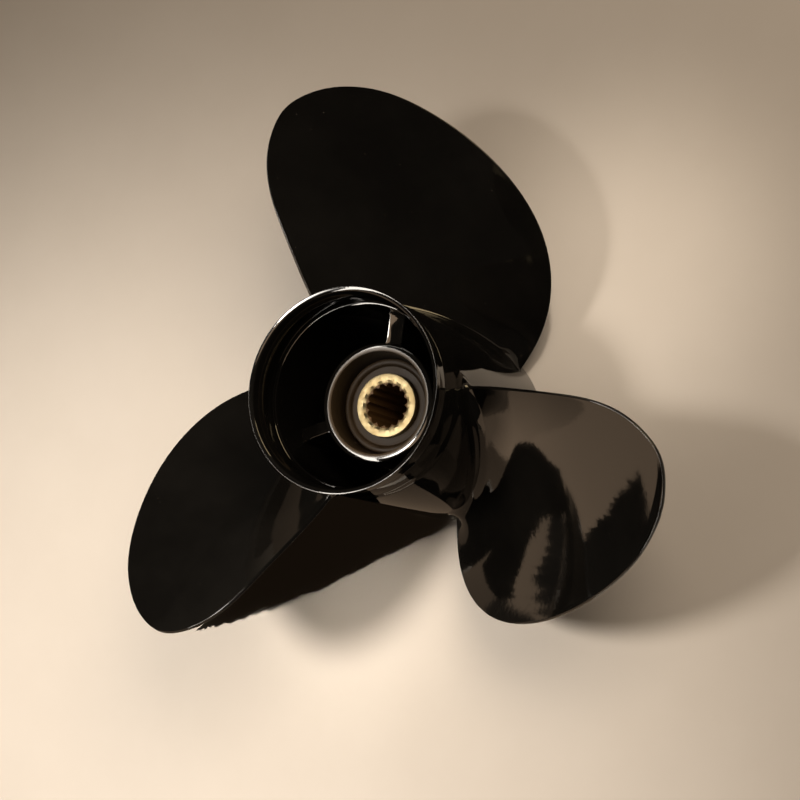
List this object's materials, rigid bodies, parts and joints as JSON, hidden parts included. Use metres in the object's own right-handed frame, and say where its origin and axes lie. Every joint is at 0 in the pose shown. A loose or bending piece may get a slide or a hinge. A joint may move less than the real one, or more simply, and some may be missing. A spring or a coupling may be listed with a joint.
{
  "type": "outboard motor propeller",
  "caption": "Boat propeller with broad raked blades, exhaust through its flared hub, and a splined sleeve in a rubber bushing.",
  "frame": {"origin": "on the shaft axis at the propeller's centre of volume, 67 mm aft of the hub's forward end", "axes": "+Z along the shaft axis, pointing aft out of the exhaust mouth; +Y roughly towards the first blade"},
  "size_m": [0.3184, 0.3002, 0.154],
  "materials": {
    "gloss_black_paint": "gloss",
    "black_rubber": "matte",
    "brass_sleeve": "satin"
  },
  "bodies": {
    "root": {"hub_barrel": "gloss_black_paint", "diffuser_ring": "gloss_black_paint", "inner_hub": "gloss_black_paint", "rib_1": "gloss_black_paint", "rib_2": "gloss_black_paint", "rib_3": "gloss_black_paint", "blade_1": "gloss_black_paint", "blade_2": "gloss_black_paint", "blade_3": "gloss_black_paint", "rubber_bushing": "black_rubber", "splined_sleeve": "brass_sleeve"}
  },
  "joints": []
}
